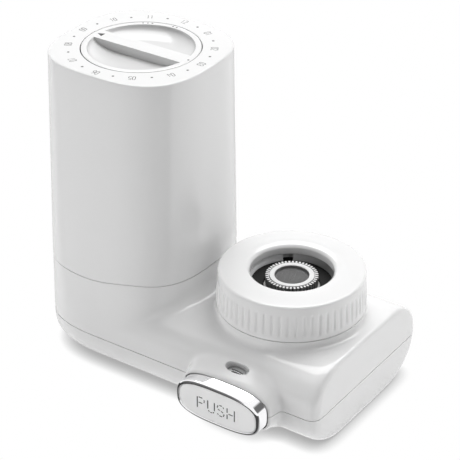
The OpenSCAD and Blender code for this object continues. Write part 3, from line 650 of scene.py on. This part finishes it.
outer_top = tower_ring(TOWER_H, CAP_EDGE)
cap_rings = [cap_rim(0.25), [(x, y, z + 0.25) for x, y, z in cap_rim(0)]]
cap_rings += [tower_ring(z) for z in (50, 70, 90, 110, 124)]
cap_rings += [tower_ring(TOWER_H - CAP_EDGE * (1 - math.sin(a)), CAP_EDGE * (1 - math.cos(a)))
              for a in [math.pi / 2 * i / 8 for i in range(9)]]
cap_rings += [facing_circle(WELL_R + 4, TOWER_H, outer_top), facing_circle(WELL_R + 0.12, TOWER_H, outer_top)]
cap_rings += [facing_circle(WELL_R, TOWER_H - 0.12, outer_top), facing_circle(WELL_R, WELL_FLOOR, outer_top)]
cap_rings += [facing_circle(3.1, WELL_FLOOR, outer_top), facing_circle(3.1, WELL_UNDER, outer_top)]
cap_rings += [facing_circle(WELL_R + 2, WELL_UNDER, outer_top), facing_circle(WELL_R + 2, 129.6, outer_top)]
cap_rings += [tower_ring(129.6, SHELL_WALL + 0.4), tower_ring(129, SHELL_WALL)]
cap_rings += [tower_ring(z, SHELL_WALL) for z in (110, 80, 52)]
cap_rings += [cap_rim(SHELL_WALL)]
tower_cap_shell = ring_loft("tower_cap_shell", cap_rings, closed=True)
finish_piece(tower_cap_shell, glossy_white, "white_gloss", "cap", "tower_cap")


# Printed months
# Pad-printed in pale grey ink on the cap round the dial: the twelve months as two thin
# figures each, with their tops outward, and a small dot halfway between each two.
INK = 0.02
DOTS_R, DOT_R = 28.2, 0.5
FIGURES = {
    "0": [[(0.25, 0), (0.75, 0), (1, 0.3), (1, 1.3), (0.75, 1.6), (0.25, 1.6), (0, 1.3), (0, 0.3), (0.25, 0)]],
    "1": [[(0.25, 1.3), (0.65, 1.6), (0.65, 0)]],
    "2": [[(0, 1.3), (0.25, 1.6), (0.75, 1.6), (1, 1.3), (1, 1.05), (0, 0), (1, 0)]],
    "3": [[(0, 1.35), (0.25, 1.6), (0.75, 1.6), (1, 1.35), (1, 1.05), (0.75, 0.82), (0.4, 0.82)],
          [(0.75, 0.82), (1, 0.55), (1, 0.25), (0.75, 0), (0.25, 0), (0, 0.25)]],
    "4": [[(0.75, 0), (0.75, 1.6), (0, 0.45), (1, 0.45)]],
    "5": [[(0.95, 1.6), (0.1, 1.6), (0.05, 0.9), (0.7, 0.95), (1, 0.7), (1, 0.25), (0.75, 0), (0.2, 0), (0, 0.2)]],
    "6": [[(0.85, 1.6), (0.3, 1.3), (0, 0.7), (0, 0.3), (0.25, 0), (0.75, 0), (1, 0.3), (1, 0.6), (0.75, 0.88),
           (0.25, 0.88), (0, 0.6)]],
    "7": [[(0, 1.6), (1, 1.6), (0.35, 0)]],
    "8": [[(0.25, 0), (0.75, 0), (1, 0.25), (1, 0.6), (0.75, 0.85), (0.25, 0.85), (0, 0.6), (0, 0.25), (0.25, 0)],
          [(0.25, 0.85), (0.05, 1.1), (0.05, 1.35), (0.25, 1.6), (0.75, 1.6), (0.95, 1.35), (0.95, 1.1),
           (0.75, 0.85)]],
    "9": [[(0.15, 0), (0.7, 0.3), (1, 0.9), (1, 1.3), (0.75, 1.6), (0.25, 1.6), (0, 1.3), (0, 1.0), (0.25, 0.72),
           (0.75, 0.72), (1, 1.0)]],
}


def stroke_piece(name, lines, width):
    """Ink strokes along lines of points in millimetres: round curves made into one mesh."""
    curve = bpy.data.curves.new(name, "CURVE")
    curve.dimensions = "3D"
    curve.bevel_depth = width / 2 * MM
    curve.bevel_resolution = 1
    curve.use_fill_caps = True
    for line in lines:
        spline = curve.splines.new("POLY")
        spline.points.add(len(line) - 1)
        for point, p in zip(spline.points, line):
            point.co = (*(Vector(p) * MM), 1)
    piece = bpy.data.objects.new(name, curve)
    bpy.context.scene.collection.objects.link(piece)
    bpy.ops.object.select_all(action="DESELECT")
    bpy.context.view_layer.objects.active = piece
    piece.select_set(True)
    bpy.ops.object.convert(target="MESH")
    return bpy.context.active_object


def flatten(piece, middle, scale):
    """Presses raised strokes down onto their surface, to the thickness of ink."""
    bpy.ops.object.select_all(action="DESELECT")
    bpy.context.view_layer.objects.active = piece
    piece.select_set(True)
    bpy.ops.object.mode_set(mode="EDIT")
    bpy.ops.mesh.select_all(action="SELECT")
    bpy.ops.transform.resize(value=scale, center_override=Vector(middle) * MM)
    bpy.ops.object.mode_set(mode="OBJECT")


def figure_lines(text, angle, r, height, pitch):
    """Figures set on a circle with their tops outward."""
    out = Vector((math.cos(angle), math.sin(angle), 0))
    along = Vector((math.sin(angle), -math.cos(angle), 0))
    scale = height / 1.6
    lines = []
    for k, letter in enumerate(text):
        left = (k - len(text) / 2) * pitch + (pitch - scale * 0.62) / 2
        for line in FIGURES[letter]:
            lines.append([tuple(out * (r - height / 2 + v * scale) + along * (left + u * scale * 0.62)
                                + Vector((0, 0, TOWER_H))) for u, v in line])
    return lines


def ink_dot(name, x, y, r):
    return cylinder(name, r, TOWER_H - INK, TOWER_H + INK, (x, y), 20)


month_lines = []
for month in range(1, 13):
    month_lines += figure_lines(f"{month:02d}", math.radians(90 - 30 * month), 28.4, 2.7, 1.5)
month_print = stroke_piece("month_print", month_lines, 0.32)
flatten(month_print, (0, 0, TOWER_H), (1, 1, 0.15))
month_dots = []
for k in range(12):
    a = math.radians(15 + 30 * k)
    month_dots.append(ink_dot("month_dot", DOTS_R * math.cos(a), DOTS_R * math.sin(a), DOT_R))
join(month_print, *month_dots)
pale_ink = moulded_plastic("pale_grey_ink", (0.13, 0.13, 0.13), 0.6, grain=0.05)
finish_piece(month_print, pale_ink, "grey_part", "cap")


# Month dial
# A round dish, moulded in the same white ABS, that is set by hand to the month of the
# last change. Two rounded finger hollows leave a straight grip bar standing between.
BOWL_R = 21.0
BOWL_DEPTH = 3.8
BOWL_FLAT = 8.5
GRIP = (-3.2, 3.8)

dial_profile = [(DIAL_R - 1.2, 0), (DIAL_R - 0.2, 0), (DIAL_R - 0.06, -0.06), (DIAL_R, -0.2), (DIAL_R, -7.1),
                (3.0, -7.1), (3.0, -11.1)]
dial_body = ring_loft("dial_dish", [[(*p, TOWER_H + z) for p in circle(r, 192)] for r, z in dial_profile])
bowl_rings = [[(*p, TOWER_H - BOWL_DEPTH) for p in circle(BOWL_FLAT, 192)]]
for i in range(1, 17):
    t = i / 16
    r = mix(BOWL_FLAT, BOWL_R, 1 - (1 - t) ** 1.5)
    depth = BOWL_DEPTH * quarter((r - BOWL_FLAT) / (BOWL_R - BOWL_FLAT), 2.2)
    bowl_rings.append([(*p, TOWER_H - depth) for p in circle(r, 192)])
bowl_rings.append([(*p, TOWER_H + 2) for p in circle(BOWL_R, 192)])
bowl_tool = ring_loft("bowl_tool", bowl_rings)
grip_outline = [(-40, GRIP[0]), (40, GRIP[0]), (40, GRIP[1]), (-40, GRIP[1])]
cut(bowl_tool, prism("grip_tool", grip_outline, TOWER_H - 10, TOWER_H + 10, upright))
cut(dial_body, bowl_tool)
apply_modifier(dial_body, "BEVEL", width=0.16 * MM, segments=2, limit_method="ANGLE", angle_limit=math.radians(40))
dial_white_painted_shade = moulded_plastic("dial_white_abs", (0.89, 0.89, 0.89), 0.16, coat=0.3)
# Painted shade: faces turned towards the front, such as the grip bar's front wall, darken to 0.7.
paint_shade_over(dial_white_painted_shade, ("ShaderNodeNewGeometry", "Normal", "Y"), -0.75, -0.1, 0.7, 1.0)
# Painted shade in the hollows, which the soft lamps would leave too bright.
hollow_low, hollow_high = (TOWER_H - 3.6) * MM, (TOWER_H - 1.2) * MM
paint_shade_over(dial_white_painted_shade, ("ShaderNodeTexCoord", "Object", "Z"), hollow_low, hollow_high, 0.86, 1.0)
finish_piece(dial_body, dial_white_painted_shade, "white_gloss", "dial", "month_dial", angle=30)

arrow_outline = [(-21.6, 0.35), (-18.75, 1.65), (-18.75, -1.1)]
dial_print = prism("dial_print", arrow_outline, TOWER_H - INK, TOWER_H + INK, upright)
dial_dots = [ink_dot("dial_dot", 22.2, 0.2, 0.42)]
for degrees in (125, 120.2, 115.5, 92.7, 88.2):
    a = math.radians(degrees)
    dial_dots.append(ink_dot("dial_dot", 22.3 * math.cos(a), 22.3 * math.sin(a), 0.38))
join(dial_print, *dial_dots)
dark_ink = moulded_plastic("dark_grey_ink", (0.05, 0.05, 0.05), 0.6, grain=0.05)
finish_piece(dial_print, dark_ink, "grey_part", "dial")


# Collar nut
# The ring that draws the tap's adapter down on the gasket: a thick white ABS moulding
# with sixty shallow flutes for the grip and a chamfered opening in its flat top.
NUT_R = 29.9
NUT_Z = 38.1
NUT_TOP = 53.4
TAP_R = 16.6
LIP_UNDER = 50.5
SKIRT_Z = 49.6
FLUTES = 60
NUT_POINTS = 720


def nut_ring_points(r, z, flute=0.0):
    points = []
    for i in range(NUT_POINTS):
        a = 2 * math.pi * i / NUT_POINTS
        groove = max(0.0, math.cos(FLUTES * a) + 0.1) / 1.1
        rr = r - flute * groove
        points.append((COLLAR[0] + rr * math.cos(a), COLLAR[1] + rr * math.sin(a), z))
    return points


nut_rings = [nut_ring_points(21.9, NUT_Z + 0.4), nut_ring_points(22.3, NUT_Z), nut_ring_points(29.4, NUT_Z)]
nut_rings += [nut_ring_points(29.8, NUT_Z + 0.2), nut_ring_points(NUT_R, NUT_Z + 0.6)]
flute_depths = ((39.9, 0), (40.4, 0.12), (41.2, 0.36), (42, 0.42), (46, 0.42), (48.2, 0.38),
                (48.9, 0.22), (49.5, 0.06), (50, 0))
nut_rings += [nut_ring_points(mix(NUT_R, 29.2, (z - NUT_Z) / 14), z, flute) for z, flute in flute_depths]
nut_rings += [nut_ring_points(28.2 + math.cos(a), NUT_TOP - 1 + math.sin(a)) for a in
              [math.pi / 2 * i / 6 for i in range(7)]]
nut_rings += [nut_ring_points(22, NUT_TOP), nut_ring_points(TAP_R + 1.05, NUT_TOP)]
nut_rings += [nut_ring_points(TAP_R + 0.95, NUT_TOP - 0.05), nut_ring_points(TAP_R + 0.05, NUT_TOP - 0.85)]
nut_rings += [nut_ring_points(TAP_R, NUT_TOP - 1.0), nut_ring_points(TAP_R, SKIRT_Z + 0.15)]
nut_rings += [nut_ring_points(TAP_R + 0.15, SKIRT_Z), nut_ring_points(18.9, SKIRT_Z)]
nut_rings += [nut_ring_points(18.9, LIP_UNDER)]
nut_rings += [nut_ring_points(21.9, LIP_UNDER)]
nut_shell = ring_loft("nut_shell", nut_rings, closed=True)
finish_piece(nut_shell, glossy_white, "white_gloss", "nut", "collar_nut", angle=40)


# Split ring
# An open ring of grey acetal under the nut's lip. It closes on the adapter's thread
# relief as the nut turns, and its gap lets it spring.
SPLIT = (16.2, 19.2, 46.5, 49.2)
GAP_AT, GAP = 128, 14
split_rings = []
for i in range(161):
    a = math.radians(GAP_AT + GAP / 2 + (360 - GAP) * i / 160)
    ring = []
    for u, v in ((0, 0.08), (0.08, 0), (0.88, 0), (1, 0.12), (1, 0.88), (0.88, 1), (0.5, 1), (0, 0.25)):
        r, z = mix(SPLIT[0], SPLIT[1], u), mix(SPLIT[2], SPLIT[3], v)
        ring.append((COLLAR[0] + r * math.cos(a), COLLAR[1] + r * math.sin(a), z))
    split_rings.append(ring)
open_ring = ring_loft("open_ring", split_rings)
split_ring_grey_painted_shade = moulded_plastic("grey_acetal", (0.93, 0.93, 0.935), 0.38, grain=0.08)
# Painted shade, from light to dark across the collar.
lit_side, dark_side = (COLLAR[0] - 16) * MM, (COLLAR[0] + 6) * MM
paint_shade_over(split_ring_grey_painted_shade, ("ShaderNodeTexCoord", "Object", "X"), lit_side, dark_side, 1.0, 0.3)
finish_piece(open_ring, split_ring_grey_painted_shade, "grey_part", "base", "split_ring", angle=40)


# Inlet sleeve
# A pale grey acetal sleeve in the middle of the collar, pressed into the valve. Its
# toothed top is turned by hand or coin, and a ledge in it carries the screen.
SLEEVE_TOP = 50.3
SLEEVE_R = 10.4
TEETH = 44
gear = []
for i in range(TEETH):
    for share, r in ((0.0, 9.3), (0.42, 9.3), (0.46, 10.3), (0.5, SLEEVE_R), (0.92, SLEEVE_R), (0.96, 10.3)):
        a = 2 * math.pi * (i + share) / TEETH
        gear.append((COLLAR[0] + r * math.cos(a), COLLAR[1] + r * math.sin(a)))
toothed = prism("toothed", gear, 45.9, SLEEVE_TOP - 0.2, upright)
hub_profile = [(9.6, 45), (9.6, 46), (9.4, 46.2), (9.4, SLEEVE_TOP - 0.7), (8.95, SLEEVE_TOP - 0.6),
               (8.85, SLEEVE_TOP - 0.15), (8.7, SLEEVE_TOP), (7.05, SLEEVE_TOP),
               (6.85, SLEEVE_TOP - 0.2), (6.85, 48.5), (5.85, 48.5), (5.85, 36), (7.9, 36), (7.9, 45)]
inlet_hub = revolved("inlet_hub", hub_profile, COLLAR)
cut(toothed, cylinder("hub_room", 9.2, 44, 52, COLLAR))
join(inlet_hub, toothed)
sleeve_grey_painted_shade = moulded_plastic("sleeve_acetal", (0.80, 0.80, 0.80), 0.34, grain=0.06)
# Painted shade: faces that don't turn up darken, down to a quarter of the colour on the sides.
paint_shade_over(sleeve_grey_painted_shade, ("ShaderNodeNewGeometry", "Normal", "Z"), 0.3, 0.7, 0.25, 1.0)
finish_piece(inlet_hub, sleeve_grey_painted_shade, "grey_part", "base", "inlet_sleeve", angle=30)


# Inlet screen
# A disc of woven stainless steel wire on the sleeve's ledge, which keeps grit out.
# Every wire is drawn, over and under the ones that cross it.
SCREEN_R = 6.75
WIRE_PITCH = 0.5
weave = []
for row in range(-13, 14):
    offset = row * WIRE_PITCH
    reach = math.sqrt(max(0.0, SCREEN_R ** 2 - offset ** 2))
    steps = max(2, int(4 * reach / WIRE_PITCH))
    for turned in (False, True):
        line = []
        for i in range(steps + 1):
            s = mix(-reach, reach, i / steps)
            height = 0.09 * math.cos(math.pi * (s / WIRE_PITCH + row)) * (-1 if turned else 1)
            x, y = (offset, s) if turned else (s, offset)
            line.append((COLLAR[0] + x * 0.8 - y * 0.6, COLLAR[1] + x * 0.6 + y * 0.8, 48.85 + height))
        weave.append(line)
wire_cloth = stroke_piece("wire_cloth", weave, 0.24)


def metal(name, color, roughness, streak=0.0):
    """Bare or plated metal, with fine streaks or clouds in its gloss."""
    material = bpy.data.materials.new(name)
    material.use_nodes = True
    tree = material.node_tree
    shader = tree.nodes["Principled BSDF"]
    shader.inputs["Base Color"].default_value = (*color, 1)
    shader.inputs["Metallic"].default_value = 1
    place = tree.nodes.new("ShaderNodeTexCoord")
    stretch = tree.nodes.new("ShaderNodeMapping")
    stretch.inputs["Scale"].default_value = (1, 1, 1 + 30 * streak)
    noise = tree.nodes.new("ShaderNodeTexNoise")
    noise.inputs["Scale"].default_value = 220
    noise.inputs["Detail"].default_value = 4
    gloss = tree.nodes.new("ShaderNodeMapRange")
    gloss.inputs["To Min"].default_value = roughness * 0.8
    gloss.inputs["To Max"].default_value = roughness * 1.2
    tree.links.new(place.outputs["Object"], stretch.inputs["Vector"])
    tree.links.new(stretch.outputs["Vector"], noise.inputs["Vector"])
    tree.links.new(noise.outputs["Fac"], gloss.inputs["Value"])
    tree.links.new(gloss.outputs["Result"], shader.inputs["Roughness"])
    return material


woven_steel = metal("woven_steel", (0.2, 0.2, 0.2), 0.5, 1.0)
finish_piece(wire_cloth, woven_steel, "steel", "base", "inlet_screen")


# Push button
# The pad that changes the stream: white ABS in a chrome-plated rim that stands proud of
# the bezel. The word on it is printed in broken strokes of dark grey ink.
PAD_FRONT = 45.6
RIM_LIP = 1.1


def button_ring_points(inset, y):
    outline = squircle(RING_W / 2 - inset, RING_H / 2 - inset, 3, 200)
    return [(BUTTON[0] + x, -y, BUTTON[1] + z) for x, z in outline]


rim_profile = [(0.0, 39.7), (0.0, 44.5)]
rim_profile += [(0.9 - 0.9 * math.cos(a), 44.7 + 1.27 * math.sin(a))
                for a in [math.pi / 2 * i / 8 for i in range(9)]]
rim_profile += [(1.04, 45.93), (RIM_LIP, 45.8), (RIM_LIP, 43.5), (2.1, 43.4), (2.1, 39.7)]
chrome_rim = ring_loft("chrome_rim", [button_ring_points(i, y) for i, y in rim_profile], closed=True)
chrome = metal("chrome_plate", (0.95, 0.95, 0.96), 0.05)
chrome_tree = chrome.node_tree
# The shading normal leans, as on a rim with a slight draft, so that it mirrors past the tower.
rim_normal = chrome_tree.nodes.new("ShaderNodeNewGeometry")
rim_draft = chrome_tree.nodes.new("ShaderNodeVectorMath")
rim_draft.inputs[1].default_value = (0.15, -0.35, 0)
chrome_tree.links.new(rim_normal.outputs["Normal"], rim_draft.inputs[0])
chrome_tree.links.new(rim_draft.outputs["Vector"], chrome_tree.nodes["Principled BSDF"].inputs["Normal"])
finish_piece(chrome_rim, chrome, "chrome", "button", "button_ring", angle=50)

pad_profile = [(1.15, 43.4), (1.15, 45.0), (1.22, 45.3), (1.42, 45.5), (1.7, 45.58), (2.4, PAD_FRONT), (6, 45.62)]
pad = ring_loft("pad", [button_ring_points(i, y) for i, y in pad_profile])
pad_white = moulded_plastic("pad_white_abs", (0.97, 0.97, 0.97), 0.3, grain=0.03)
finish_piece(pad, pad_white, "white_gloss", "button", "push_button", angle=50)

LETTERS = (
    (57.55, 3.3, ([(0, 0), (0, 1.6)], [(0.2, 1.6), (0.72, 1.6)],
                  [(0.95, 1.42), (1, 1.2), (0.95, 0.98)], [(0.72, 0.8), (0.2, 0.8)])),
    (62.45, 3.1, ([(0, 1.6), (0, 0.4)], [(0.08, 0.2), (0.25, 0.03)], [(0.38, 0), (0.66, 0)],
                  [(0.78, 0.03), (0.94, 0.2)], [(1, 0.4), (1, 1.6)])),
    (66.8, 3.3, ([(0.95, 1.3), (0.82, 1.48)], [(0.7, 1.57), (0.32, 1.57)],
                 [(0.18, 1.48), (0.04, 1.3), (0.04, 1.1)], [(0.12, 0.94), (0.4, 0.82)],
                 [(0.55, 0.78), (0.88, 0.66)], [(0.97, 0.5), (0.97, 0.3), (0.84, 0.12)],
                 [(0.7, 0.03), (0.32, 0.03)], [(0.2, 0.1), (0.04, 0.28)])),
    (71.45, 3.35, ([(0, 0), (0, 0.68)], [(0, 0.92), (0, 1.6)], [(0.2, 0.8), (0.8, 0.8)], [(1, 0), (1, 1.6)])),
)
WORD_LOW, WORD_HIGH = 12.1, 17.15
word_lines = []
for left, width, letter in LETTERS:
    for line in letter:
        word_lines.append([(left + u * width, -PAD_FRONT - INK, mix(WORD_LOW, WORD_HIGH, v / 1.6))
                           for u, v in line])
push_word = stroke_piece("push_word", word_lines, 0.5)
flatten(push_word, (0, -PAD_FRONT - INK, 0), (1, 0.12, 1))
finish_piece(push_word, dark_ink, "grey_part", "button")


# Mode drum and its window
# A white acetal drum behind a small oval window shows which stream is set. The signs on
# it are short strokes of ink, three of them, one for each place that the drum stops in.
sign_drum = across("sign_drum", DRUM_R, 35.5, 30.3, 128)
apply_modifier(sign_drum, "BEVEL", width=0.3 * MM, segments=2, limit_method="ANGLE", angle_limit=math.radians(40))
drum_white = moulded_plastic("drum_acetal", (0.93, 0.93, 0.93), 0.4, grain=0.06)
finish_piece(sign_drum, drum_white, "white_inner", "rotor", "mode_drum")


def on_drum(u, v, turn):
    """A point on the drum: u millimetres round it and v along its axis."""
    a = math.pi / 2 - u / DRUM_R + turn
    return BUTTON[0] + DRUM_R * math.cos(a), v, BUTTON[1] + DRUM_R * math.sin(a)


sign_lines = []
for k in range(3):
    turn = 2 * math.pi * k / 3
    for u in (-1.6, -0.8, 0, 0.8, 1.6, 2.4, 3.2):
        sign_lines.append([on_drum(u + 0.25 * s, -34.9 + 0.35 * s, turn) for s in range(5 - k)])
    sign_lines.append([on_drum(u, -32.6, turn) for u in (-2.0, -1, 0, 1, 2, 3.0)])
drum_signs = stroke_piece("drum_signs", sign_lines, 0.5)
black_ink = moulded_plastic("black_ink", (0.01, 0.01, 0.01), 0.6, grain=0.05)
finish_piece(drum_signs, black_ink, "grey_part", "rotor")

lens_pane = window_oval("lens_pane", 5.2, 2.35, -2.6, -1.6)
clear_plastic = bpy.data.materials.new("clear_acrylic")
clear_plastic.use_nodes = True
clear_tree = clear_plastic.node_tree
clear_shader = clear_tree.nodes["Principled BSDF"]
clear_shader.inputs["Base Color"].default_value = (0.93, 0.95, 0.96, 1)
clear_shader.inputs["Alpha"].default_value = 0.04
clear_place = clear_tree.nodes.new("ShaderNodeTexCoord")
clear_noise = clear_tree.nodes.new("ShaderNodeTexNoise")
clear_noise.inputs["Scale"].default_value = 300
clear_gloss = clear_tree.nodes.new("ShaderNodeMapRange")
clear_gloss.inputs["To Min"].default_value = 0.04
clear_gloss.inputs["To Max"].default_value = 0.08
clear_tree.links.new(clear_place.outputs["Object"], clear_noise.inputs["Vector"])
clear_tree.links.new(clear_noise.outputs["Fac"], clear_gloss.inputs["Value"])
clear_tree.links.new(clear_gloss.outputs["Result"], clear_shader.inputs["Roughness"])
finish_piece(lens_pane, clear_plastic, "clear", "base", "window_lens")


# Button spring
# A coil of stainless wire between the pad and its guide. It is squeezed from its front
# end when the button goes in, and its back end stays on the guide.
coil = []
for i in range(4 * 24 + 1):
    a = 2 * math.pi * i / 24
    coil.append((BUTTON[0] + 4 * math.cos(a), -mix(43.05, 37.35, i / 96), BUTTON[1] + 4 * math.sin(a)))
spring_wire = stroke_piece("spring_wire", [coil], 0.7)
satin_steel = metal("satin_steel", (0.45, 0.45, 0.46), 0.35, 1.0)
finish_piece(spring_wire, satin_steel, "steel", "base", "button_spring")
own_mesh(spring_wire)


# What is left of the frame
# Pieces that hide inside keep their own form and get the plastics, rubber, steel and
# carbon that such parts are made of. The cartridge shows when the cap is lifted.
pale_plastic = moulded_plastic("pale_grey_acetal", (0.72, 0.72, 0.72), 0.34, grain=0.06)
inner_plastic = moulded_plastic("inner_acetal", (0.78, 0.78, 0.77), 0.42, grain=0.08)
soft_rubber = moulded_plastic("black_rubber", (0.02, 0.02, 0.02), 0.7, grain=0.2)
soft_rubber.node_tree.nodes["Principled BSDF"].inputs["Specular IOR Level"].default_value = 0.1
pressed_carbon = moulded_plastic("pressed_carbon", (0.03, 0.03, 0.032), 0.9, grain=0.9, grain_scale=1500)
finishes = {
    "white_gloss": glossy_white,
    "white_inner": inner_plastic,
    "grey_part": pale_plastic,
    "chrome": chrome,
    "steel": satin_steel,
    "rubber": soft_rubber,
    "carbon": pressed_carbon,
    "clear": clear_plastic,
}
slots = {part["node"]: part["material_slot"] for part in frame["record"]["subparts"]}
for name, node in frame["nodes"].items():
    if node.hide_render:
        continue
    node.data.materials.clear()
    node.data.materials.append(finishes[slots[name]])
